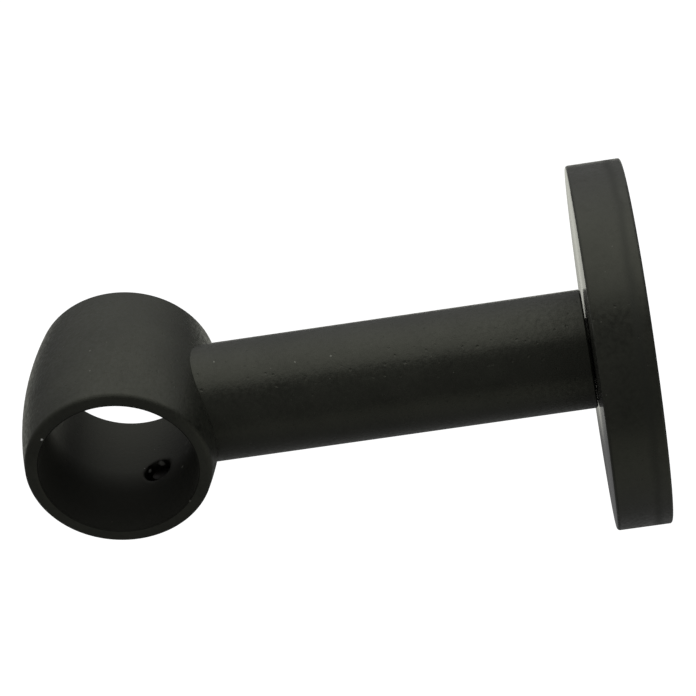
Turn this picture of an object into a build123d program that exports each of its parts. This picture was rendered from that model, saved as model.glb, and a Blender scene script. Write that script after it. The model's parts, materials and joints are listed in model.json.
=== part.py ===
from build123d import *
import os
from math import cos, radians, sin, tan

# Curtain pole bracket for a round pole.
# The wall is the plane y = 0 and the bracket stands out from it along -Y.
# The pole runs along X through the ring, and +Z is up. All sizes are in millimetres.

os.makedirs("parts", exist_ok=True)

# Pole and ring
pole_diameter = 25.0
pole_clearance = 0.5            # radial room between pole and ring
ring_length = 29.0              # along the pole
ring_end_wall = 2.1             # wall at the two flat ends
ring_bulge = 1.45               # how much fuller the barrel is at mid length, on the radius
ring_edge_radius = 0.6
bore_edge_break = 0.25
projection = 87.3               # wall to pole axis

# Arm
arm_diameter = 19.7
arm_edge_break = 0.3
arm_top_gap = 0.4               # the shoulder is cut a little out of square and stands off the rose
arm_bottom_gap = 0.05
spigot_diameter = 10.0          # turned end that centres the arm in the rose
spigot_length = 1.5             # inside the rose, where it seats
spigot_edge_break = 0.2
spigot_clearance = 0.05         # radial

# Wall rose and the wall plate inside it
rose_diameter = 60.3
rose_front_wall = 3.0
rose_rim_wall = 3.4
rose_front_radius = 0.5
rose_back_radius = 0.4
recess_corner_radius = 0.6
plate_thickness = 5.0
plate_clearance = 0.25          # radial room inside the rim
plate_front_gap = 1.0           # room between plate and rose front wall
plate_edge_break = 0.3
groove_depth = 1.0              # V groove round the plate, at mid thickness
wall_screw_inset = 8.0          # plate edge to hole centre
wall_screw_count = 3
wall_screw_hole = 4.5
wall_screw_sink = 8.8

# Screws, with threads drawn as plain cylinders
thread_clearance = 0.05         # radial, between a screw and its tapped hole
passing_clearance = 0.2         # radial, where a screw passes through freely
drill_overrun = 2.0             # tapped hole beyond the screw's end
screw_end_break = 0.4
sink_angle = 90.0               # included angle of countersunk heads, cones and the V groove

arm_bolt_diameter = 6.0
arm_bolt_grip = 12.0            # thread inside the arm
arm_bolt_head_diameter = 10.5
arm_bolt_head_height = 3.3
arm_bolt_head_round = 2.4
arm_bolt_socket = 4.0           # across flats
arm_bolt_socket_depth = 2.0

washer_diameter = 11.8
washer_thickness = 1.6
washer_clearance = 0.1          # radial, round the bolt
washer_split = 0.6
washer_split_angle = 20.0       # the cut leans this far from the axis
washer_room = 1.6               # radial, between washer and wall plate

ring_screw_diameter = 5.0
ring_screw_grip = 10.0          # thread inside the arm
ring_screw_head_diameter = 9.5
ring_screw_head_recess = 0.3    # head below the bore's surface
ring_screw_socket = 3.0
ring_screw_socket_depth = 1.6

pole_grub_diameter = 5.0
pole_grub_length = 4.0
pole_grub_socket = 2.5
pole_grub_socket_depth = 1.8
pole_grub_cup_diameter = 2.6
pole_grub_cup_depth = 0.9
pole_grub_recess = 0.8          # point below the bore's surface, so that a pole slides in
pole_grub_angle = 76.0          # below the arm's axis, leaning towards the wall

rose_grub_diameter = 3.0
rose_grub_length = 4.0
rose_grub_socket = 1.5
rose_grub_socket_depth = 1.4
rose_grub_offset = 0.2          # in front of the groove, so that the cone draws the rose to the wall

# Places worked out from the sizes above
bore_radius = pole_diameter / 2 + pole_clearance
end_radius = bore_radius + ring_end_wall
belly_radius = end_radius + ring_bulge
half_length = ring_length / 2
arm_radius = arm_diameter / 2
half_sink = radians(sink_angle / 2)

rose_radius = rose_diameter / 2
rose_front_y = -(rose_front_wall + plate_front_gap + plate_thickness)
recess_floor_y = rose_front_y + rose_front_wall
recess_radius = rose_radius - rose_rim_wall
plate_radius = recess_radius - plate_clearance
plate_hole_radius = max(washer_diameter, arm_bolt_head_diameter) / 2 + washer_room
groove_y = -plate_thickness / 2
groove_half_width = groove_depth * tan(half_sink)

spigot_end_y = rose_front_y + spigot_length
saddle_y = belly_radius - projection
bolt_seat_y = recess_floor_y + washer_thickness
bolt_tip_y = spigot_end_y - arm_bolt_grip

ring_screw_top_y = bore_radius + ring_screw_head_recess - projection
ring_screw_tip_y = saddle_y + ring_screw_grip
ring_screw_head_height = (ring_screw_head_diameter - ring_screw_diameter) / 2 / tan(half_sink)

# The cone of the rose's grub screw lies a thread clearance off the groove's front flank
grub_flank_gap = rose_grub_offset / tan(half_sink) + thread_clearance / sin(half_sink)
rose_grub_tip_radius = plate_radius - groove_depth + grub_flank_gap
rose_grub_y = groove_y - rose_grub_offset


def facing_room(y):
    """A plane across the arm at y that looks away from the wall."""
    return Plane(origin=(0, y, 0), x_dir=(1, 0, 0), z_dir=(0, -1, 0))


def facing_wall(y):
    """A plane across the arm at y that looks at the wall."""
    return Plane(origin=(0, y, 0), x_dir=(1, 0, 0), z_dir=(0, 1, 0))


def screw_plane(centre, outward, distance):
    """A plane across a grub screw's axis, distance from centre, that looks out of its hole."""
    return Plane(origin=centre + outward * distance, x_dir=(1, 0, 0), z_dir=outward)


def half_section(across):
    """A plane through a screw's axis: x is the radius and y runs up the screw from across."""
    return Plane(origin=across.origin, x_dir=across.x_dir, z_dir=across.x_dir.cross(across.z_dir))


def cut_socket(end, across_flats, depth):
    """Cut a hexagon socket into the screw that is being built, from the plane of its end."""
    with BuildSketch(end) as hexagon:
        RegularPolygon(across_flats / 2, 6, major_radius=False)
    extrude(hexagon.sketch, amount=-depth, mode=Mode.SUBTRACT)


# Planes and axes of the ring and of the two grub screws
pole_centre = Vector(0, -projection, 0)
pole_axis = Axis(pole_centre, (1, 0, 0))
pole_section = Plane(origin=pole_centre, x_dir=(1, 0, 0), z_dir=(0, 0, 1))

grub_lean = radians(pole_grub_angle)
pole_grub_outward = Vector(0, cos(grub_lean), -sin(grub_lean))
pole_grub_tip = screw_plane(pole_centre, pole_grub_outward, bore_radius + pole_grub_recess)
pole_grub_end = pole_grub_tip.offset(pole_grub_length)
pole_grub_mouth = screw_plane(pole_centre, pole_grub_outward, belly_radius)

rose_grub_centre = Vector(0, rose_grub_y, 0)
rose_grub_outward = Vector(0, 0, -1)
rose_grub_tip = screw_plane(rose_grub_centre, rose_grub_outward, rose_grub_tip_radius)
rose_grub_end = rose_grub_tip.offset(rose_grub_length)
rose_grub_mouth = screw_plane(rose_grub_centre, rose_grub_outward, rose_radius)


# Solid barrel form that the arm's saddle is cut to
with BuildPart() as barrel:
    with BuildSketch(pole_section):
        with BuildLine():
            Polyline(
                (-half_length, end_radius),
                (-half_length, 0),
                (half_length, 0),
                (half_length, end_radius),
            )
            ThreePointArc((half_length, end_radius), (0, belly_radius), (-half_length, end_radius))
        make_face()
    revolve(axis=pole_axis)

# Ring turned to the same barrel, with a plain bore, a sunk hole towards the arm and a tapped hole below
with BuildPart() as pole_ring:
    with BuildSketch(pole_section) as ring_section:
        with BuildLine():
            Polyline(
                (-half_length, end_radius),
                (-half_length, bore_radius),
                (half_length, bore_radius),
                (half_length, end_radius),
            )
            ThreePointArc((half_length, end_radius), (0, belly_radius), (-half_length, end_radius))
        make_face()
        corners = ring_section.vertices().group_by(Axis.Y)
        fillet(corners[-1], ring_edge_radius)
        chamfer(corners[0], bore_edge_break)
    revolve(axis=pole_axis)
    with Locations(facing_room(ring_screw_top_y)):
        CounterSinkHole(
            radius=ring_screw_diameter / 2 + passing_clearance,
            counter_sink_radius=ring_screw_head_diameter / 2 + thread_clearance,
            depth=belly_radius - bore_radius,
            counter_sink_angle=sink_angle,
        )
    with Locations(pole_grub_mouth):
        Hole(pole_grub_diameter / 2 + thread_clearance, depth=belly_radius)
pole_ring.part.label = "pole_ring"
export_step(pole_ring.part, "parts/pole_ring.step")

# Arm: round bar coped to the ring's barrel, with a centring spigot and a tapped hole at each end
with BuildPart() as arm:
    with BuildSketch(facing_room(rose_front_y)):
        Circle(arm_radius)
    extrude(amount=projection + rose_front_y)
    add(barrel.part, mode=Mode.SUBTRACT)
    with BuildSketch(Plane.YZ.offset(-arm_radius)):
        with BuildLine():
            Polyline(
                (rose_front_y, -arm_radius),
                (rose_front_y, arm_radius),
                (rose_front_y - arm_top_gap, arm_radius),
                (rose_front_y - arm_bottom_gap, -arm_radius),
                close=True,
            )
        make_face()
    extrude(amount=arm_diameter, mode=Mode.SUBTRACT)
    chamfer(faces().sort_by(Axis.Y)[-1].edges(), arm_edge_break)
    with BuildSketch(facing_wall(rose_front_y - arm_top_gap)):
        Circle(spigot_diameter / 2)
    extrude(amount=arm_top_gap + spigot_length)
    chamfer(faces().sort_by(Axis.Y)[-1].edges(), spigot_edge_break)
    with Locations(facing_wall(spigot_end_y)):
        Hole(arm_bolt_diameter / 2 + thread_clearance, depth=arm_bolt_grip + drill_overrun)
    with Locations(facing_room(saddle_y)):
        Hole(ring_screw_diameter / 2 + thread_clearance, depth=ring_screw_grip + drill_overrun)
arm.part.label = "arm"
export_step(arm.part, "parts/arm.step")

# Rose: a round cup, open to the wall, with a pocket for the arm's spigot and a tapped hole in the rim
with BuildPart() as wall_rose:
    with BuildSketch(facing_room(0)):
        Circle(rose_radius)
    extrude(amount=-rose_front_y)
    fillet(faces().sort_by(Axis.Y)[0].edges(), rose_front_radius)
    fillet(faces().sort_by(Axis.Y)[-1].edges(), rose_back_radius)
    with BuildSketch(facing_room(0)):
        Circle(recess_radius)
    extrude(amount=-recess_floor_y, mode=Mode.SUBTRACT)
    fillet(edges(Select.LAST).group_by(Axis.Y)[0], recess_corner_radius)
    with Locations(facing_room(rose_front_y)):
        CounterBoreHole(
            radius=arm_bolt_diameter / 2 + passing_clearance,
            counter_bore_radius=spigot_diameter / 2 + spigot_clearance,
            counter_bore_depth=spigot_length,
        )
    with Locations(rose_grub_mouth):
        Hole(rose_grub_diameter / 2 + thread_clearance, depth=rose_radius)
wall_rose.part.label = "wall_rose"
export_step(wall_rose.part, "parts/wall_rose.step")

# Wall plate: flush with the wall, V groove round its edge, sunk holes for the wall screws
with BuildPart() as wall_plate:
    with BuildSketch(Plane.XY) as plate_section:
        with BuildLine():
            Polyline(
                (plate_hole_radius, 0),
                (plate_radius, 0),
                (plate_radius, groove_y + groove_half_width),
                (plate_radius - groove_depth, groove_y),
                (plate_radius, groove_y - groove_half_width),
                (plate_radius, -plate_thickness),
                (plate_hole_radius, -plate_thickness),
                close=True,
            )
        make_face()
        outer_corners = plate_section.vertices().group_by(Axis.X)[-1].sort_by(Axis.Y)
        chamfer([outer_corners[0], outer_corners[-1]], plate_edge_break)
    revolve(axis=Axis.Y)
    with Locations(facing_room(-plate_thickness)):
        with PolarLocations(plate_radius - wall_screw_inset, wall_screw_count, start_angle=90):
            CounterSinkHole(
                radius=wall_screw_hole / 2,
                counter_sink_radius=wall_screw_sink / 2,
                counter_sink_angle=sink_angle,
            )
wall_plate.part.label = "wall_plate"
export_step(wall_plate.part, "parts/wall_plate.step")

# Arm bolt: button head on the lock washer, thread in the arm
with BuildPart() as arm_bolt:
    with BuildSketch(facing_wall(bolt_seat_y)):
        Circle(arm_bolt_head_diameter / 2)
    extrude(amount=arm_bolt_head_height)
    fillet(faces().sort_by(Axis.Y)[-1].edges(), arm_bolt_head_round)
    with BuildSketch(facing_room(bolt_seat_y)):
        Circle(arm_bolt_diameter / 2)
    extrude(amount=bolt_seat_y - bolt_tip_y)
    chamfer(faces().sort_by(Axis.Y)[0].edges(), screw_end_break)
    cut_socket(facing_wall(bolt_seat_y + arm_bolt_head_height), arm_bolt_socket, arm_bolt_socket_depth)
arm_bolt.part.label = "arm_bolt"
export_step(arm_bolt.part, "parts/arm_bolt.step")

# Lock washer: pressed flat under the bolt's head, cut through at a slant
with BuildPart() as arm_lock_washer:
    with BuildSketch(facing_wall(recess_floor_y)):
        Circle(washer_diameter / 2)
        Circle(arm_bolt_diameter / 2 + washer_clearance, mode=Mode.SUBTRACT)
    extrude(amount=washer_thickness)
    washer_middle = Vector(0, recess_floor_y + washer_thickness / 2, 0)
    with BuildSketch(Plane(origin=washer_middle, x_dir=(0, 0, 1), z_dir=(1, 0, 0))):
        Rectangle(washer_split, 2 * washer_thickness, rotation=washer_split_angle)
    extrude(amount=washer_diameter, mode=Mode.SUBTRACT)
arm_lock_washer.part.label = "arm_lock_washer"
export_step(arm_lock_washer.part, "parts/arm_lock_washer.step")

# Ring screw: countersunk head below the bore's surface, thread in the arm
with BuildPart() as ring_screw:
    with BuildSketch(Plane.XY):
        with BuildLine():
            Polyline(
                (0, ring_screw_top_y),
                (ring_screw_head_diameter / 2, ring_screw_top_y),
                (ring_screw_diameter / 2, ring_screw_top_y + ring_screw_head_height),
                (ring_screw_diameter / 2, ring_screw_tip_y - screw_end_break),
                (ring_screw_diameter / 2 - screw_end_break, ring_screw_tip_y),
                (0, ring_screw_tip_y),
                close=True,
            )
        make_face()
    revolve(axis=Axis.Y)
    cut_socket(facing_room(ring_screw_top_y), ring_screw_socket, ring_screw_socket_depth)
ring_screw.part.label = "ring_screw"
export_step(ring_screw.part, "parts/ring_screw.step")

# Pole grub screw: cup point towards the pole, hexagon socket outside
with BuildPart() as pole_grub_screw:
    with BuildSketch(half_section(pole_grub_tip)):
        with BuildLine():
            Polyline(
                (0, pole_grub_cup_depth),
                (pole_grub_cup_diameter / 2, 0),
                (pole_grub_diameter / 2, (pole_grub_diameter - pole_grub_cup_diameter) / 2),
                (pole_grub_diameter / 2, pole_grub_length - screw_end_break),
                (pole_grub_diameter / 2 - screw_end_break, pole_grub_length),
                (0, pole_grub_length),
                close=True,
            )
        make_face()
    revolve(axis=Axis(pole_grub_tip.origin, pole_grub_outward))
    cut_socket(pole_grub_end, pole_grub_socket, pole_grub_socket_depth)
pole_grub_screw.part.label = "pole_grub_screw"
export_step(pole_grub_screw.part, "parts/pole_grub_screw.step")

# Rose grub screw: cone point in the wall plate's groove, hexagon socket in the rim's underside
with BuildPart() as rose_grub_screw:
    with BuildSketch(half_section(rose_grub_tip)):
        with BuildLine():
            Polyline(
                (0, 0),
                (rose_grub_diameter / 2, rose_grub_diameter / 2 / tan(half_sink)),
                (rose_grub_diameter / 2, rose_grub_length - screw_end_break),
                (rose_grub_diameter / 2 - screw_end_break, rose_grub_length),
                (0, rose_grub_length),
                close=True,
            )
        make_face()
    revolve(axis=Axis(rose_grub_tip.origin, rose_grub_outward))
    cut_socket(rose_grub_end, rose_grub_socket, rose_grub_socket_depth)
rose_grub_screw.part.label = "rose_grub_screw"
export_step(rose_grub_screw.part, "parts/rose_grub_screw.step")
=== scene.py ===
"""Looks, light and camera for a curtain pole bracket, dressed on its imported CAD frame.

The bracket is a barrel ring on a round arm that stands out from a flat wall rose. The frame is the
CAD's own, in metres: the wall is the plane y = 0, the pole runs along X and +Z is up. Sizes of
pieces, marks and patterns are written in millimetres, and those of the studio in metres.
"""

import json
import logging
import math
from dataclasses import dataclass
from enum import Enum
from typing import Any

import bmesh
import bpy
from mathutils import Matrix, Vector


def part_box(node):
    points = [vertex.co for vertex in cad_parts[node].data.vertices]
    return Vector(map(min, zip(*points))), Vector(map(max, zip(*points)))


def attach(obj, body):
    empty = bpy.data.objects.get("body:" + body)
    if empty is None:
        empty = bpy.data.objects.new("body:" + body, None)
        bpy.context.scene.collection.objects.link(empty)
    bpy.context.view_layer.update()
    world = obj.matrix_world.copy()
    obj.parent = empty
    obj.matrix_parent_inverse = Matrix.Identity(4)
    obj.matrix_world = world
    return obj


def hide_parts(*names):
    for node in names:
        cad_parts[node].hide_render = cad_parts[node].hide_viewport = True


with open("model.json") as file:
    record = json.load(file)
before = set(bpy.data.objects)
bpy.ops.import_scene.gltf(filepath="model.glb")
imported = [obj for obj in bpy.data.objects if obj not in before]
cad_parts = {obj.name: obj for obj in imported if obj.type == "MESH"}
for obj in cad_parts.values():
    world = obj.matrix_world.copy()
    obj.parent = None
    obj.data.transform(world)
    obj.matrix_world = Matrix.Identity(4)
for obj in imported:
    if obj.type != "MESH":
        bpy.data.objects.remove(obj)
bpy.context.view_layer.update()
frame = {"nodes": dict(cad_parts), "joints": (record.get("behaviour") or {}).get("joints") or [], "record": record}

MM = 0.001
NEAR_MM = 0.0001
MERGE_MM = 0.001
FULL_TURN = 2 * math.pi
QUARTER_TURN = 0.25
HEXAGON = 6
SHARP_ANGLE = math.radians(35)
ONES = Vector((1.0, 1.0, 1.0))
WHITE = (1.0, 1.0, 1.0, 1.0)

# Most of a noise lies between these two values.
NOISE_LOW = 0.3
NOISE_HIGH = 0.7
# Each finer layer of a grain has this share of the strength of the layer before it.
GRAIN_ROUGHNESS = 0.6
# A dot, and each chip and painted highlight, is solid to this share of its radius, and fades out from there.
SOLID_SHARE = 0.5

JOINTS = {joint["name"]: joint for joint in frame["joints"]}
MOUNTS = {mount["name"]: mount for mount in frame["record"]["mounts"]}
POLE_CENTRE = Vector(MOUNTS["pole_bore"]["pos_m"])
POLE_DIRECTION = Vector(MOUNTS["pole_bore"]["axis"])
BORE_RADIUS_MM = MOUNTS["pole_bore"]["dims"]["r_mm"]
WALL_CENTRE = Vector(MOUNTS["wall_face"]["pos_m"])
WALL_DIRECTION = Vector(MOUNTS["wall_face"]["axis"])

Socket = bpy.types.NodeSocket
Tree = bpy.types.NodeTree
Pair = tuple[float, float]
Triple = tuple[float, float, float]

log = logging.getLogger("curtain_pole_bracket")


class Body(Enum):
    """The rigid bodies that a new piece can ride on."""

    BRACKET = "bracket"
    POLE_GRUB = "pole_grub"
    ROSE_GRUB = "rose_grub"


class Slot(Enum):
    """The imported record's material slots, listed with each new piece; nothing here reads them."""

    ZINC_STEEL = "zinc_steel"
    BLACK_STEEL = "black_steel"


class Lathe(Enum):
    """The axis that a piece was turned about, and so the one that its tool lines run round."""

    POLE = "along the pole"
    ARM = "along the arm"

    @property
    def centre(self) -> Vector:
        """A point on the axis."""
        return POLE_CENTRE if self is Lathe.POLE else WALL_CENTRE

    @property
    def direction(self) -> Vector:
        """The axis as a unit vector."""
        return POLE_DIRECTION if self is Lathe.POLE else WALL_DIRECTION


class Measure(Enum):
    """How far a point is along its lathe axis, or out from it."""

    ALONG = "along"
    OUT = "out"


Turned = dict[Measure, Socket]


def linear(hex_colour: str) -> tuple[float, float, float, float]:
    """Turn an sRGB hex colour into linear RGBA.

    Args:
        hex_colour: six hex digits, such as "2a2a28".

    Returns:
        The linear colour, with alpha 1.
    """
    channels = [int(hex_colour[i:i + 2], 16) / 255 for i in (0, 2, 4)]
    # The sRGB standard's own curve: a straight foot, then a power.
    return (*(c / 12.92 if c <= 0.04045 else ((c + 0.055) / 1.055) ** 2.4 for c in channels), 1.0)


def add(
    tree: Tree, kind: str, inputs: dict[str | int, Any] | None = None, **settings: Any
) -> bpy.types.Node:
    """Add one node with its settings, and fill its inputs.

    Args:
        tree: the node tree that takes the node.
        kind: the node's type without its ShaderNode prefix, such as "TexNoise".
        inputs: socket name or index, to an output socket that is linked or a value that is set.
        settings: attributes of the node.

    Returns:
        The new node.
    """
    node = tree.nodes.new("ShaderNode" + kind)
    for name, value in settings.items():
        setattr(node, name, value)
    for key, value in (inputs or {}).items():
        if isinstance(value, Socket):
            tree.links.new(value, node.inputs[key])
        else:
            node.inputs[key].default_value = value
    return node


def empty_tree(owner: bpy.types.Material | bpy.types.World) -> Tree:
    """Switch a material or a world to nodes and clear them.

    Args:
        owner: the material or world.

    Returns:
        Its empty node tree.
    """
    owner.use_nodes = True
    owner.node_tree.nodes.clear()
    return owner.node_tree


@dataclass(frozen=True)
class Finish:
    """A surface finish that is drawn by shader nodes on Object coordinates."""

    name: str
    lathe: Lathe = Lathe.ARM

    def material(self) -> bpy.types.Material:
        """Make the finish as a node material.

        Returns:
            The material, with its Principled shader dressed by the finish.
        """
        material = bpy.data.materials.new(self.name)
        tree = empty_tree(material)
        place = add(tree, "TexCoord").outputs["Object"]
        shader = add(tree, "BsdfPrincipled", self.shading(tree, place))
        add(tree, "OutputMaterial", {"Surface": shader.outputs["BSDF"]})
        return material

    def shading(self, tree: Tree, place: Socket) -> dict[str, Any]:
        """Give the shader's inputs as links or values.

        Args:
            tree: the material's node tree.
            place: the Object coordinates.

        Returns:
            The inputs by socket name.
        """
        raise NotImplementedError

    def spoke(self, tree: Tree, place: Socket) -> Socket:
        """Give the way to a point from the lathe axis's own point.

        Args:
            tree: the material's node tree.
            place: the Object coordinates.

        Returns:
            The way, as a vector.
        """
        spoke = add(tree, "VectorMath", {0: place, 1: self.lathe.centre}, operation="SUBTRACT")
        return spoke.outputs["Vector"]

    def turned(self, tree: Tree, place: Socket) -> Turned:
        """Measure a point against the lathe axis.

        Args:
            tree: the material's node tree.
            place: the Object coordinates.

        Returns:
            The distance along the axis and the distance out from it.
        """
        spoke = self.spoke(tree, place)
        along = add(tree, "VectorMath", {0: spoke, 1: self.lathe.direction}, operation="DOT_PRODUCT")
        # Each axis runs along X or Y, so a spoke without that coordinate is the way out from it.
        across = add(tree, "VectorMath", {0: spoke, 1: ONES - self.lathe.direction}, operation="MULTIPLY")
        out = add(tree, "VectorMath", {0: across.outputs["Vector"]}, operation="LENGTH")
        return {Measure.ALONG: along.outputs["Value"], Measure.OUT: out.outputs["Value"]}

    def round_axis(self, tree: Tree, place: Socket) -> Socket:
        """Give the direction that the lathe's lines run in.

        Args:
            tree: the material's node tree.
            place: the Object coordinates.

        Returns:
            The direction round the axis.
        """
        spoke = self.spoke(tree, place)
        return add(tree, "VectorMath", {
            0: self.lathe.direction, 1: spoke}, operation="CROSS_PRODUCT").outputs["Vector"]

    def tool_lines(self, tree: Tree, turned: Turned, spacing_mm: float, detail: float = 2.0) -> Socket:
        """Draw the lathe's lines, which run round the axis on every face.

        Args:
            tree: the material's node tree.
            turned: the distances along the axis and out from it.
            spacing_mm: the usual distance between lines.
            detail: how many finer layers the lines have.

        Returns:
            The lines as a value from 0 to 1.
        """
        section = add(tree, "CombineXYZ", {"X": turned[Measure.ALONG], "Y": turned[Measure.OUT]})
        lines = add(tree, "TexNoise", {
            "Vector": section.outputs["Vector"], "Scale": 1 / (spacing_mm * MM), "Detail": detail},
            noise_dimensions="2D")
        return lines.outputs["Fac"]

    def grains(self, tree: Tree, place: Socket, size_mm: float, detail: float = 2.0) -> Socket:
        """Draw noise with grains of a real size.

        Args:
            tree: the material's node tree.
            place: the coordinates.
            size_mm: the size of a grain.
            detail: how many finer layers the grain has.

        Returns:
            The noise as a value from 0 to 1.
        """
        noise = add(tree, "TexNoise", {
            "Vector": place, "Scale": 1 / (size_mm * MM), "Detail": detail, "Roughness": GRAIN_ROUGHNESS})
        return noise.outputs["Fac"]

    def blend(self, tree: Tree, share: Socket, first: Any, second: Any) -> Socket:
        """Mix two colours.

        Args:
            tree: the material's node tree.
            share: how much of the second colour shows.
            first: a colour or a socket.
            second: a colour or a socket.

        Returns:
            The mixed colour.
        """
        mix = add(tree, "Mix", {"Factor": share, "A": first, "B": second}, data_type="RGBA")
        return mix.outputs["Result"]


@dataclass(frozen=True)
class NickOrGlint:
    """A small spot in a coat, for chips, lighter patches and painted highlights: where it is and how large, in
    millimetres, and its colour.
    """

    place: Triple
    radius: float
    colour: str


@dataclass(frozen=True)
class Zone:
    """A stretch of a coated piece, between two limits in millimetres, with a colour and gloss of its own.

    The limits fade out over the edge, and can wobble with the coat's clouding. The roughness goes
    from its first value to its second along the lathe axis, between the two places of the run.
    """

    measure: Measure
    low: float
    high: float
    roughness: Pair
    colour: str
    edge: float = 0.1
    run: Pair = (0.0, 1.0)
    wobble: float = 0.0

    def cover(self, tree: Tree, turned: Turned, cloud: Socket) -> Socket:
        """Find how much of the zone's own look a point has.

        Args:
            tree: the material's node tree.
            turned: the distances along the lathe axis and out from it.
            cloud: the coat's clouding, as a value from 0 to 1.

        Returns:
            The share, which is 1 between the limits and 0 past their edges.
        """
        half = (self.high - self.low) / 2
        middle = self.low + half + self.wobble / 2
        wavy = add(tree, "Math", {
            0: cloud, 1: self.wobble * MM, 2: turned[self.measure]}, operation="MULTIPLY_ADD").outputs[0]
        aside = add(tree, "Math", {0: wavy, 1: middle * MM}, operation="SUBTRACT").outputs[0]
        gap = add(tree, "Math", {0: aside}, operation="ABSOLUTE").outputs[0]
        return add(tree, "MapRange", {
            "Value": gap, "From Min": (half + self.edge) * MM, "From Max": half * MM}).outputs["Result"]

    def gloss(self, tree: Tree, turned: Turned) -> Socket:
        """Give the zone's own roughness.

        Args:
            tree: the material's node tree.
            turned: the distances along the lathe axis and out from it.

        Returns:
            The roughness.
        """
        return add(tree, "MapRange", {
            "Value": turned[Measure.ALONG], "From Min": self.run[0] * MM, "From Max": self.run[1] * MM,
            "To Min": self.roughness[0], "To Max": self.roughness[1]}).outputs["Result"]


@dataclass(frozen=True)
class SatinBlackCoat(Finish):
    """Thin baked satin black coat over turned metal.

    The eye gets a warm near-black that lightens softly where it mirrors something bright, with a
    fine orange-peel speckle, small pits and a few dust flecks. The lines of the lathe under it are
    too fine to see, but they stretch the gloss across themselves.
    """

    dark: str = "181916"
    light: str = "2a2b26"
    mottle: Pair = (0.7, 1.3)
    fleck: str = "55554f"
    mirror_tint: str = "fdffea"
    roughness: Pair = (0.29, 0.51)
    ior: float = 1.5
    stretch: float = 0.7
    cloud_mm: float = 7.0
    # The peel of such a coat is too fine to show in the render, so it is drawn coarser.
    speckle_mm: float = 0.7
    peel_height_mm: float = 0.045
    fleck_spacing_mm: float = 3.0
    fleck_mm: float = 0.12
    pit_spacing_mm: float = 2.2
    pit_mm: float = 0.25
    pit_depth_mm: float = 0.03
    ragged_mm: float = 0.3
    soft_edge_mm: float = 0.0
    zones: tuple[Zone, ...] = ()
    nicks_and_glints: tuple[NickOrGlint, ...] = ()

    def shading(self, tree: Tree, place: Socket) -> dict[str, Any]:
        """Draw speckle, clouding, the zones, pits, flecks, and the chips and painted highlights.

        Args:
            tree: the material's node tree.
            place: the Object coordinates.

        Returns:
            The shader's inputs by socket name.
        """
        turned = self.turned(tree, place)
        speckle = self.grains(tree, place, self.speckle_mm)
        cloud = self.grains(tree, place, self.cloud_mm, detail=3.0)
        mottle = add(tree, "Math", {0: speckle, 1: cloud}, operation="ADD").outputs[0]
        shade = add(tree, "MapRange", {
            "Value": mottle, "From Min": self.mottle[0], "From Max": self.mottle[1]}).outputs["Result"]
        colour = self.blend(tree, shade, linear(self.dark), linear(self.light))
        gloss = add(tree, "MapRange", {
            "Value": speckle, "From Min": NOISE_LOW, "From Max": NOISE_HIGH,
            "To Min": self.roughness[0], "To Max": self.roughness[1]}).outputs["Result"]
        for zone in self.zones:
            share = zone.cover(tree, turned, cloud)
            own = zone.gloss(tree, turned)
            colour = self.blend(tree, share, colour, linear(zone.colour))
            gloss = add(tree, "Mix", {"Factor": share, "A": gloss, "B": own}).outputs["Result"]
        ragged = self.ragged(tree, place)
        flecks = self.dots(tree, ragged, self.fleck_spacing_mm, self.fleck_mm)
        colour = self.blend(tree, flecks, colour, linear(self.fleck))
        return {"Base Color": self.marked(tree, ragged, colour), "Roughness": gloss, "IOR": self.ior,
                "Normal": self.relief(tree, speckle, ragged), "Specular Tint": linear(self.mirror_tint),
                "Anisotropic": self.stretch, "Anisotropic Rotation": QUARTER_TURN,
                "Tangent": self.round_axis(tree, place)}

    def relief(self, tree: Tree, speckle: Socket, ragged: Socket) -> Socket:
        """Raise the peel and sink the pits, over edges that the coat has softened.

        Args:
            tree: the material's node tree.
            speckle: the peel's height, as a value from 0 to 1.
            ragged: the coordinates that the pits are drawn on.

        Returns:
            The bumped normal.
        """
        bump = {"Height": speckle, "Distance": self.peel_height_mm * MM}
        if self.soft_edge_mm:
            bump["Normal"] = add(tree, "Bevel", {"Radius": self.soft_edge_mm * MM}).outputs["Normal"]
        peel = add(tree, "Bump", bump).outputs["Normal"]
        pits = self.dots(tree, ragged, self.pit_spacing_mm, self.pit_mm)
        pitted = add(tree, "Bump", {
            "Height": pits, "Distance": self.pit_depth_mm * MM, "Normal": peel}, invert=True)
        return pitted.outputs["Normal"]

    def ragged(self, tree: Tree, place: Socket) -> Socket:
        """Shift the coordinates by a fine noise, so that what is drawn on them has ragged outlines.

        Args:
            tree: the material's node tree.
            place: the Object coordinates.

        Returns:
            The shifted coordinates.
        """
        noise = add(tree, "TexNoise", {"Vector": place, "Scale": 1 / (self.ragged_mm * MM)}).outputs["Color"]
        even = add(tree, "VectorMath", {0: noise, 1: ONES / 2}, operation="SUBTRACT").outputs["Vector"]
        return add(tree, "VectorMath", {
            0: even, 1: ONES * self.ragged_mm * MM, 2: place}, operation="MULTIPLY_ADD").outputs["Vector"]

    def dots(self, tree: Tree, place: Socket, spacing_mm: float, radius_mm: float) -> Socket:
        """Scatter soft dots.

        Args:
            tree: the material's node tree.
            place: the coordinates.
            spacing_mm: the usual distance between dots in space.
            radius_mm: the radius at which a dot has faded out.

        Returns:
            The dots as a value from 0 to 1.
        """
        cells = add(tree, "TexVoronoi", {"Vector": place, "Scale": 1 / (spacing_mm * MM)})
        radius = radius_mm / spacing_mm
        return add(tree, "MapRange", {
            "Value": cells.outputs["Distance"], "From Min": radius,
            "From Max": radius * SOLID_SHARE}).outputs["Result"]

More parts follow.
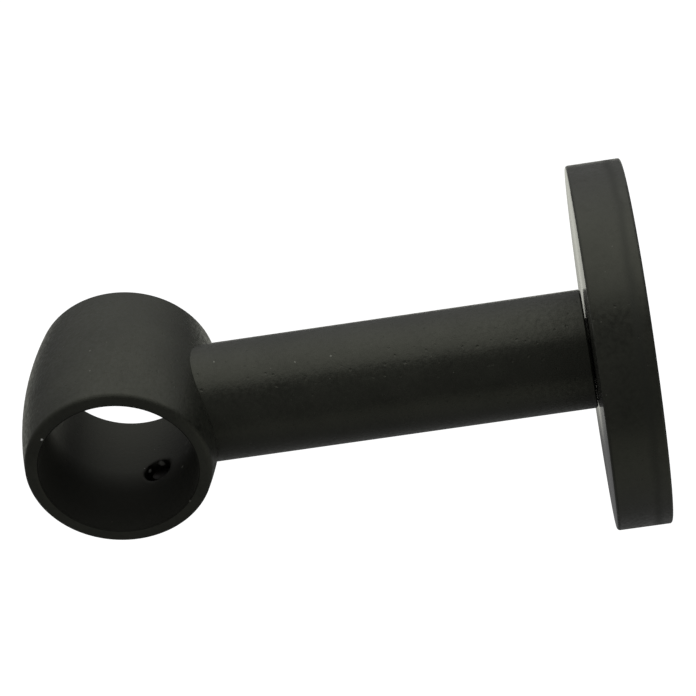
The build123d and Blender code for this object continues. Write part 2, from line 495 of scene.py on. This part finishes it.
    def marked(self, tree: Tree, place: Socket, colour: Socket) -> Socket:
        """Lay the chips and painted highlights over a colour.

        Args:
            tree: the material's node tree.
            place: the coordinates.
            colour: the colour under the chips and painted highlights.

        Returns:
            The colour with the chips and painted highlights.
        """
        for nick_or_glint in self.nicks_and_glints:
            radius = nick_or_glint.radius * MM
            gap = add(tree, "VectorMath", {
                0: place, 1: Vector(nick_or_glint.place) * MM}, operation="DISTANCE").outputs["Value"]
            spot = add(tree, "MapRange", {
                "Value": gap, "From Min": radius, "From Max": radius * SOLID_SHARE}).outputs["Result"]
            colour = self.blend(tree, spot, colour, linear(nick_or_glint.colour))
        return colour


@dataclass(frozen=True)
class BrightZincPlate(Finish):
    """Bright zinc plate over turned mild steel.

    The eye gets a cool silver metal with a faint yellow clouding and fine rings from the lathe.
    """

    silver: str = "c4c7c9"
    clouded: str = "b3b1a6"
    roughness: Pair = (0.22, 0.40)
    cloud_mm: float = 5.0
    # A lathe's lines are about 0.1 mm apart, too fine to show in the render, so they are drawn coarser.
    tool_line_mm: float = 0.35
    line_height_mm: float = 0.004

    def shading(self, tree: Tree, place: Socket) -> dict[str, Any]:
        """Draw the clouding and the rings.

        Args:
            tree: the material's node tree.
            place: the Object coordinates.

        Returns:
            The shader's inputs by socket name.
        """
        cloud = self.grains(tree, place, self.cloud_mm, detail=4.0)
        lines = self.tool_lines(tree, self.turned(tree, place), self.tool_line_mm)
        colour = self.blend(tree, cloud, linear(self.silver), linear(self.clouded))
        both = add(tree, "Math", {0: cloud, 1: lines}, operation="ADD").outputs[0]
        gloss = add(tree, "MapRange", {
            "Value": both, "From Min": 2 * NOISE_LOW, "From Max": 2 * NOISE_HIGH,
            "To Min": self.roughness[0], "To Max": self.roughness[1]}).outputs["Result"]
        rings = add(tree, "Bump", {"Height": lines, "Distance": self.line_height_mm * MM}).outputs["Normal"]
        return {"Base Color": colour, "Metallic": 1.0, "Roughness": gloss, "Normal": rings}


@dataclass(frozen=True)
class BlackOxideSteel(Finish):
    """Black oxide on alloy steel screws, with a trace of oil.

    The eye gets a dark blue-brown metal with a dull shine.
    """

    dark: str = "171718"
    brown: str = "201e1b"
    roughness: Pair = (0.38, 0.54)
    blotch_mm: float = 0.8

    def shading(self, tree: Tree, place: Socket) -> dict[str, Any]:
        """Draw the blotches of the oxide.

        Args:
            tree: the material's node tree.
            place: the Object coordinates.

        Returns:
            The shader's inputs by socket name.
        """
        blotch = self.grains(tree, place, self.blotch_mm, detail=4.0)
        colour = self.blend(tree, blotch, linear(self.dark), linear(self.brown))
        gloss = add(tree, "MapRange", {
            "Value": blotch, "From Min": NOISE_LOW, "From Max": NOISE_HIGH,
            "To Min": self.roughness[0], "To Max": self.roughness[1]}).outputs["Result"]
        return {"Base Color": colour, "Metallic": 1.0, "Roughness": gloss}


@dataclass(frozen=True)
class Thread:
    """An outside screw thread: its pitch and the heights that it runs between, in millimetres.

    The crest's and root's widths, the depth and the run-out at each end are shares of the pitch.
    """

    pitch: float
    start: float
    end: float
    crest: float = 0.125
    root: float = 0.25
    depth: float = 0.6
    run_out: float = 0.5

    def depth_at(self, height: float, angle: float) -> float:
        """Work out how far a point of the thread lies below the crest.

        Args:
            height: the height above the screw's tip.
            angle: the angle round the screw's axis, in radians.

        Returns:
            The depth, which fades out at both ends of the thread.
        """
        # A triangle wave along the helix, 0 on the crest and 1 on the root.
        phase = abs((height / self.pitch - angle / FULL_TURN) % 1 - 0.5) * 2
        slope = min(max((phase - self.crest) / (1 - self.crest - self.root), 0.0), 1.0)
        from_end = min(height - self.start, self.end - height)
        faded = min(max(from_end / (self.pitch * self.run_out), 0.0), 1.0)
        return self.pitch * self.depth * slope * faded


@dataclass
class Screw:
    """A socket screw that is turned from a half outline, threaded and given a hexagon socket.

    Heights are millimetres above the tip, and radii millimetres from the axis. The foot is any point
    on the axis, and up points from the tip to the head. The drill point under the socket falls by a
    share of the socket's radius.
    """

    node: str
    body: Body
    slot: Slot
    finish: Finish
    foot: Vector
    up: Vector
    tip: list[Pair]
    head: list[Pair]
    thread: Thread
    socket: float
    socket_depth: float
    drill_point: float = 0.25
    rows_per_pitch: int = 16
    steps: int = 96

    def outline(self) -> list[Pair]:
        """Give the half outline from the tip, round the head and down into the socket.

        Returns:
            Points of radius and height.
        """
        flat = self.socket / 2
        top = self.head[-1][1]
        floor = top - self.socket_depth
        return [*self.tip, *self.head, (flat, top), (flat, floor), (0, floor - flat * self.drill_point)]

    def shape(self) -> bmesh.types.BMesh:
        """Spin the outline, cut the thread and press the socket to a hexagon.

        Returns:
            The screw, standing on its tip at the origin along +Z.
        """
        screw = bmesh.new()
        points = [screw.verts.new((radius * MM, 0, height * MM)) for radius, height in self.outline()]
        edges = [screw.edges.new(pair) for pair in zip(points, points[1:])]
        rows = round((self.thread.end - self.thread.start) / self.thread.pitch * self.rows_per_pitch)
        bmesh.ops.subdivide_edges(screw, edges=[edges[len(self.tip) - 1]], cuts=rows)
        bmesh.ops.spin(screw, geom=screw.verts[:] + screw.edges[:], cent=(0, 0, 0), axis=(0, 0, 1),
                       angle=FULL_TURN, steps=self.steps, use_merge=True)
        bmesh.ops.remove_doubles(screw, verts=screw.verts, dist=MERGE_MM * MM)
        bmesh.ops.recalc_face_normals(screw, faces=screw.faces)
        self.press(screw)
        return screw

    def press(self, screw: bmesh.types.BMesh) -> None:
        """Move the thread's and the socket's vertices in or out from the axis.

        Args:
            screw: the spun screw.
        """
        flat = self.socket / 2
        shank = self.tip[-1][0]
        floor = self.head[-1][1] - self.socket_depth
        sixth = FULL_TURN / HEXAGON
        for vertex in screw.verts:
            radius = vertex.co.xy.length / MM
            angle = math.atan2(vertex.co.y, vertex.co.x)
            height = vertex.co.z / MM
            if abs(radius - flat) < NEAR_MM and height > floor - NEAR_MM:
                vertex.co.xy *= 1 / math.cos(angle % sixth - sixth / 2)
            elif abs(radius - shank) < NEAR_MM and self.thread.start < height < self.thread.end:
                vertex.co.xy *= 1 - self.thread.depth_at(height, angle) / shank

    def placing(self) -> Matrix:
        """Work out the move that stands the screw where its CAD node is.

        Returns:
            The turn and the shift as one matrix.
        """
        side = POLE_DIRECTION
        turn = Matrix((side, self.up.cross(side), self.up)).transposed().to_4x4()
        vertices = frame["nodes"][self.node].data.vertices
        lowest = min((vertex.co - self.foot).dot(self.up) for vertex in vertices)
        return Matrix.Translation(self.foot + self.up * lowest) @ turn

    def build(self) -> bpy.types.Object:
        """Make the screw's piece in its place.

        Returns:
            The piece, which stands for its CAD node.
        """
        screw = self.shape()
        bmesh.ops.transform(screw, verts=screw.verts, matrix=self.placing())
        mesh = bpy.data.meshes.new(self.node + "_threaded")
        screw.to_mesh(mesh)
        screw.free()
        mesh.shade_smooth()
        mesh.set_sharp_from_angle(angle=SHARP_ANGLE)
        mesh.materials.append(self.finish.material())
        piece = bpy.data.objects.new(self.node + "_threaded", mesh)
        bpy.context.scene.collection.objects.link(piece)
        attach(piece, self.body.value)
        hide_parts(self.node)
        log.info("%s: %d faces, %s", piece.name, len(mesh.polygons), self.finish.name)
        return piece


def length_of(node: str, direction: Vector) -> float:
    """Measure a CAD node along a direction.

    Args:
        node: the CAD node's name.
        direction: a unit vector.

    Returns:
        The node's length in millimetres.
    """
    places = [vertex.co.dot(direction) for vertex in frame["nodes"][node].data.vertices]
    return (max(places) - min(places)) / MM


def dress(node: str, finish: Finish) -> None:
    """Give a CAD node its finish.

    Args:
        node: the CAD node's name.
        finish: the finish that it gets.
    """
    piece = frame["nodes"][node]
    piece.data.materials.clear()
    piece.data.materials.append(finish.material())
    log.info("%s: %s", node, finish.name)


@dataclass
class PoleRing:
    """The barrel ring that holds the pole, the screw that ties it to the arm and its grub screw."""

    bore_edge: float = 0.1
    # The bore's darker colour is painted shade inside the ring.
    bore_shade_colour: str = "0e0e0d"
    bore_roughness: Pair = (0.54, 1.0)
    bore_run: Pair = (-1.0, 10.0)
    soft_edge: float = 1.0
    nicks_and_glints: tuple[NickOrGlint, ...] = (
        # A chip of bare metal at the end face's bore edge, drawn near white as a painted glint.
        NickOrGlint((14.5, -98.0, 8.25), 0.26, "fffffa"),
        NickOrGlint((14.5, -77.24, -8.45), 0.28, "5a5a55"),
        # Lighter patches on the bore's walls, which lift its painted shade in places.
        NickOrGlint((-1.73, -99.91, -3.15), 1.3, "262625"),
        NickOrGlint((-2.73, -78.70, -9.75), 0.6, "30302e"),
        NickOrGlint((-0.3, -78.50, -9.60), 0.9, "2a2a28"),
        # Pale spots on the grub hole's wall: a painted highlight on its far side, and bare metal drawn bright as a
        # painted glint at its left.
        NickOrGlint((-2.52, -83.66, -13.15), 0.7, "a0a09a"),
        NickOrGlint((-1.66, -85.85, -13.75), 0.4, "d8d8d2"),
        NickOrGlint((-1.53, -86.61, -12.98), 0.15, "8a8a84"),
        # A lighter patch on the bore's wall, which lifts its painted shade.
        NickOrGlint((2.90, -79.29, -10.23), 0.32, "64645f"),
        NickOrGlint((-9.66, -73.41, 7.61), 0.2, "70706a"),
        NickOrGlint((3.43, -89.02, 16.32), 0.2, "5a5a55"),
        NickOrGlint((8.39, -88.77, 15.93), 0.2, "5a5a55"),
    )
    grub_diameter: float = 5.0
    grub_length: float = 4.0
    grub_pitch: float = 0.8
    grub_cup: float = 2.6
    grub_cup_depth: float = 0.9
    grub_socket: float = 2.5
    grub_socket_depth: float = 1.8
    end_break: float = 0.4
    tie_diameter: float = 5.0
    tie_pitch: float = 0.8
    tie_head: float = 9.5
    tie_socket: float = 3.0
    tie_socket_depth: float = 1.6

    def dress_ring(self) -> None:
        """Coat the ring, with a darker colour in its bore as painted shade, and a gloss there that turns matt
        towards the +X mouth.
        """
        wall = BORE_RADIUS_MM + self.bore_edge
        bore = Zone(Measure.OUT, 0, wall, self.bore_roughness, self.bore_shade_colour, run=self.bore_run)
        dress("pole_ring", SatinBlackCoat(
            "satin_black_coat_ring", Lathe.POLE, soft_edge_mm=self.soft_edge, zones=(bore,),
            nicks_and_glints=self.nicks_and_glints))

    def build_grub_screw(self) -> None:
        """Build the cup-point grub screw that bites the pole."""
        radius = self.grub_diameter / 2
        cup = self.grub_cup / 2
        shoulder = self.grub_length - self.end_break
        Screw(
            node="pole_grub_screw", body=Body.POLE_GRUB, slot=Slot.BLACK_STEEL,
            finish=BlackOxideSteel("black_oxide_pole_grub"),
            foot=POLE_CENTRE, up=-Vector(JOINTS["pole_grub_travel"]["axis"]),
            tip=[(0, self.grub_cup_depth), (cup, 0), (radius, radius - cup)],
            head=[(radius, shoulder), (radius - self.end_break, self.grub_length)],
            thread=Thread(self.grub_pitch, radius - cup, shoulder),
            socket=self.grub_socket, socket_depth=self.grub_socket_depth,
        ).build()

    def build_tie_screw(self) -> None:
        """Build the countersunk screw that ties the ring to the arm."""
        radius = self.tie_diameter / 2
        head = self.tie_head / 2
        length = length_of("ring_screw", WALL_DIRECTION)
        neck = length - (head - radius)
        Screw(
            node="ring_screw", body=Body.BRACKET, slot=Slot.BLACK_STEEL,
            finish=BlackOxideSteel("black_oxide_ring_screw"),
            foot=WALL_CENTRE, up=-WALL_DIRECTION,
            tip=[(0, 0), (radius - self.end_break, 0), (radius, self.end_break)],
            head=[(radius, neck), (head, length)],
            thread=Thread(self.tie_pitch, self.end_break, neck - self.tie_pitch),
            socket=self.tie_socket, socket_depth=self.tie_socket_depth,
        ).build()

    def build(self) -> None:
        """Build and dress the sub-assembly."""
        self.dress_ring()
        self.build_tie_screw()
        self.build_grub_screw()


@dataclass
class Arm:
    """The round arm that is coped to the ring, and the bolt that draws it to the rose."""

    pit_spacing: float = 1.7
    pit_radius: float = 0.3
    pit_depth: float = 0.045
    stretch: float = 0.8
    nicks_and_glints: tuple[NickOrGlint, ...] = (
        NickOrGlint((2.00, -69.99, 9.59), 0.2, "70706a"),
        NickOrGlint((4.21, -56.70, 8.85), 0.2, "70706a"),
        NickOrGlint((4.07, -50.77, 8.91), 0.2, "70706a"),
    )
    bolt_diameter: float = 6.0
    bolt_pitch: float = 1.0
    bolt_neck: float = 2.0
    bolt_head: float = 10.5
    bolt_head_height: float = 3.3
    bolt_head_round: float = 2.4
    bolt_head_steps: int = 10
    bolt_socket: float = 4.0
    bolt_socket_depth: float = 2.0
    end_break: float = 0.4

    def dress_arm(self) -> None:
        """Coat the arm, which is a little more pitted than the rest."""
        dress("arm", SatinBlackCoat(
            "satin_black_coat_arm", Lathe.ARM, pit_spacing_mm=self.pit_spacing, pit_mm=self.pit_radius,
            pit_depth_mm=self.pit_depth, stretch=self.stretch, nicks_and_glints=self.nicks_and_glints))

    def build_bolt(self) -> None:
        """Build the button-head bolt that draws the arm to the rose."""
        radius = self.bolt_diameter / 2
        head = self.bolt_head / 2
        length = length_of("arm_bolt", WALL_DIRECTION)
        seat = length - self.bolt_head_height
        turns = [step / self.bolt_head_steps * FULL_TURN / 4 for step in range(self.bolt_head_steps + 1)]
        crown = [(head + self.bolt_head_round * (math.cos(turn) - 1),
                  length + self.bolt_head_round * (math.sin(turn) - 1)) for turn in turns]
        Screw(
            node="arm_bolt", body=Body.BRACKET, slot=Slot.ZINC_STEEL,
            finish=BrightZincPlate("bright_zinc_arm_bolt"),
            foot=WALL_CENTRE, up=WALL_DIRECTION,
            tip=[(0, 0), (radius - self.end_break, 0), (radius, self.end_break)],
            head=[(radius, seat), (head, seat), *crown],
            thread=Thread(self.bolt_pitch, self.end_break, seat - self.bolt_neck),
            socket=self.bolt_socket, socket_depth=self.bolt_socket_depth,
        ).build()

    def build(self) -> None:
        """Build and dress the sub-assembly."""
        self.dress_arm()
        self.build_bolt()


@dataclass
class WallRose:
    """The rose, the wall plate and the lock washer inside it, and its grub screw."""

    peel_height: float = 0.012
    face_edge: float = 0.05
    face_colour: str = "1e1e1c"
    face_roughness: Pair = (0.2, 0.2)
    rim_line: Pair = (-2.35, -1.95)
    rim_line_edge: float = 0.9
    rim_line_wobble: float = 2.0
    rim_line_colour: str = "222320"
    rim_line_roughness: Pair = (0.56, 0.56)
    grub_diameter: float = 3.0
    grub_length: float = 4.0
    grub_pitch: float = 0.5
    grub_socket: float = 1.5
    grub_socket_depth: float = 1.4
    end_break: float = 0.4

    def dress_rose(self) -> None:
        """Coat the rose, whose front was turned finer than its rim, with a dull line round the rim."""
        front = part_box("wall_rose")[0].y / MM
        face = Zone(
            Measure.ALONG, front, front + self.face_edge, self.face_roughness, self.face_colour,
            edge=self.face_edge)
        line = Zone(
            Measure.ALONG, *self.rim_line, self.rim_line_roughness, self.rim_line_colour,
            edge=self.rim_line_edge, wobble=self.rim_line_wobble)
        dress("wall_rose", SatinBlackCoat(
            "satin_black_coat_rose", Lathe.ARM, peel_height_mm=self.peel_height, zones=(face, line)))

    def dress_plate(self) -> None:
        """Plate the wall plate and the lock washer."""
        for node in ("wall_plate", "arm_lock_washer"):
            dress(node, BrightZincPlate("bright_zinc_" + node, Lathe.ARM))

    def build_grub_screw(self) -> None:
        """Build the cone-point grub screw that draws the rose to the wall."""
        radius = self.grub_diameter / 2
        shoulder = self.grub_length - self.end_break
        low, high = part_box("rose_grub_screw")
        Screw(
            node="rose_grub_screw", body=Body.ROSE_GRUB, slot=Slot.BLACK_STEEL,
            finish=BlackOxideSteel("black_oxide_rose_grub"),
            foot=(low + high) / 2, up=-Vector(JOINTS["rose_grub_travel"]["axis"]),
            tip=[(0, 0), (radius, radius)],
            head=[(radius, shoulder), (radius - self.end_break, self.grub_length)],
            thread=Thread(self.grub_pitch, radius, shoulder),
            socket=self.grub_socket, socket_depth=self.grub_socket_depth,
        ).build()

    def build(self) -> None:
        """Build and dress the sub-assembly."""
        self.dress_rose()
        self.dress_plate()
        self.build_grub_screw()


@dataclass(frozen=True)
class GlowPatch:
    """A pale patch that glows on the floor as a painted reflection, which only mirrors show: its place, where it
    fades, and its level.
    """

    place: Pair
    full: float
    end: float
    level: float


@dataclass
class Studio:
    """White studio: an overhead dome of soft light, a pale floor and the camera of the photograph.

    The key is a glow overhead, longer along the arm than across it, that fades out on the camera's
    side. The fill comes from all round, with a little more from behind and from the ring's end.
    """

    camera_at: Triple = (0.312304, -0.017712, 0.232407)
    camera_right: Triple = (0.02051658, 0.98659307, -0.16190487)
    camera_up: Triple = (-0.5882593, 0.14285324, 0.79595474)
    camera_clip: float = 0.01
    lens_mm: float = 122.03
    sensor_mm: float = 36.0
    key_towards: Triple = (-0.2, 0.20, 0.959)
    key_shape: Triple = (1.0, 0.6, 1.0)
    key_level: float = 1.07
    key_start: float = 0.3
    key_power: float = 1.5
    key_front_start: float = 0.52
    key_front_full: float = 0.35
    fill_level: float = 0.2
    fill_lean: Triple = (-0.13, -0.07, 0.0)
    fill_least: float = 0.19
    floor_height: float = -0.12
    floor_width: float = 6.0
    floor_grey: str = "888888"
    floor_white: float = 0.9
    # The patches below glow on the floor only in reflections: painted reflections.
    glow_patch_colour: str = "f7f8ea"
    glow_patches: tuple[GlowPatch, ...] = (
        GlowPatch((-0.27, 0.07), 0.158, 0.17, 0.67),
        GlowPatch((-0.30, -0.25), 0.10, 0.20, 0.6),
        GlowPatch((0.22, 0.13), 0.16, 0.23, 0.26),
    )

    def camera(self) -> None:
        """Place the camera."""
        data = bpy.data.cameras.new("photo_camera")
        data.sensor_width = self.sensor_mm
        data.lens = self.lens_mm
        data.clip_start = self.camera_clip
        camera = bpy.data.objects.new("photo_camera", data)
        right = Vector(self.camera_right)
        up = Vector(self.camera_up)
        turn = Matrix((right, up, right.cross(up))).transposed()
        camera.matrix_world = Matrix.Translation(self.camera_at) @ turn.to_4x4()
        bpy.context.scene.collection.objects.link(camera)
        bpy.context.scene.camera = camera

    def dome(self) -> None:
        """Light the bracket softly from above and behind, and show the camera plain white."""
        world = bpy.data.worlds.new("soft_dome")
        bpy.context.scene.world = world
        tree = empty_tree(world)
        way = add(tree, "TexCoord").outputs["Generated"]
        key = self.key(tree, way)
        side = add(tree, "VectorMath", {0: way, 1: self.fill_lean}, operation="DOT_PRODUCT").outputs["Value"]
        even = add(tree, "Math", {0: side, 1: self.fill_level}, operation="ADD").outputs[0]
        fill = add(tree, "Math", {0: even, 1: self.fill_least}, operation="MAXIMUM").outputs[0]
        level = add(tree, "Math", {0: key, 1: fill}, operation="ADD").outputs[0]
        dome = add(tree, "Background", {"Color": WHITE, "Strength": level})
        white = add(tree, "Background", {"Color": WHITE})
        seen = add(tree, "MixShader", {
            0: add(tree, "LightPath").outputs["Is Camera Ray"], 1: dome.outputs[0], 2: white.outputs[0]})
        add(tree, "OutputWorld", {"Surface": seen.outputs[0]})

    def key(self, tree: Tree, way: Socket) -> Socket:
        """Draw the key, the glow overhead.

        Args:
            tree: the world's node tree.
            way: the direction that light comes from.

        Returns:
            The key's strength in that direction.
        """
        long = add(tree, "VectorMath", {0: way, 1: self.key_shape}, operation="MULTIPLY").outputs["Vector"]
        unit = add(tree, "VectorMath", {0: long}, operation="NORMALIZE").outputs["Vector"]
        lean = add(tree, "VectorMath", {
            0: unit, 1: self.key_towards}, operation="DOT_PRODUCT").outputs["Value"]
        rise = add(tree, "MapRange", {"Value": lean, "From Min": self.key_start}).outputs["Result"]
        glow = add(tree, "Math", {0: rise, 1: self.key_power}, operation="POWER").outputs[0]
        front = add(tree, "MapRange", {
            "Value": add(tree, "SeparateXYZ", {0: way}).outputs["X"], "From Min": self.key_front_start,
            "From Max": self.key_front_full, "To Max": self.key_level},
            interpolation_type="SMOOTHSTEP").outputs["Result"]
        return add(tree, "Math", {0: glow, 1: front}, operation="MULTIPLY").outputs[0]

    def floor(self) -> None:
        """Lay the pale floor well below the bracket."""
        grid = bmesh.new()
        bmesh.ops.create_grid(grid, x_segments=1, y_segments=1, size=self.floor_width / 2,
                              matrix=Matrix.Translation((0, 0, self.floor_height)))
        mesh = bpy.data.meshes.new("floor")
        grid.to_mesh(mesh)
        grid.free()
        floor = bpy.data.objects.new("floor", mesh)
        bpy.context.scene.collection.objects.link(floor)
        mesh.materials.append(self.floor_paint())

    def floor_paint(self) -> bpy.types.Material:
        """Make the floor's matt paint, white to the camera, with patches that glow only in reflections as painted
        reflections, and clear from below.

        Returns:
            The material.
        """
        material = bpy.data.materials.new("matt_floor_paint")
        tree = empty_tree(material)
        ray = add(tree, "LightPath").outputs
        mirrored = add(tree, "Math", {
            0: ray["Is Glossy Ray"], 1: ray["Is Transmission Ray"]}, operation="MAXIMUM").outputs[0]
        glow = add(tree, "Math", {
            0: ray["Is Camera Ray"], 1: self.floor_white}, operation="MULTIPLY").outputs[0]
        place = add(tree, "TexCoord").outputs["Object"]
        # Each patch glows for mirrored rays only, a painted reflection on the floor.
        for glow_patch in self.glow_patches:
            gap = add(tree, "VectorMath", {
                0: place, 1: (*glow_patch.place, self.floor_height)}, operation="DISTANCE").outputs["Value"]
            pale = add(tree, "MapRange", {
                "Value": gap, "From Min": glow_patch.end, "From Max": glow_patch.full,
                "To Max": glow_patch.level}).outputs["Result"]
            glow = add(tree, "Math", {0: mirrored, 1: pale, 2: glow}, operation="MULTIPLY_ADD").outputs[0]
        tint = add(tree, "Mix", {
            "Factor": mirrored, "A": WHITE, "B": linear(self.glow_patch_colour)}, data_type="RGBA")
        light = add(tree, "Emission", {"Color": tint.outputs["Result"], "Strength": glow}).outputs[0]
        paint = add(tree, "BsdfDiffuse", {"Color": linear(self.floor_grey)}).outputs[0]
        shown = add(tree, "AddShader", {0: paint, 1: light}).outputs[0]
        below = add(tree, "NewGeometry").outputs["Backfacing"]
        clear = add(tree, "BsdfTransparent").outputs[0]
        side = add(tree, "MixShader", {0: below, 1: shown, 2: clear}).outputs[0]
        add(tree, "OutputMaterial", {"Surface": side})
        return material

    def set_up(self) -> None:
        """Make the whole studio."""
        bpy.context.scene.view_settings.view_transform = "Standard"
        self.camera()
        self.dome()
        self.floor()


def main() -> None:
    """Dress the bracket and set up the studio."""
    logging.basicConfig(level=logging.INFO)
    for assembly in (PoleRing(), Arm(), WallRose()):
        assembly.build()
    Studio().set_up()


if __name__ == "__main__":
    main()
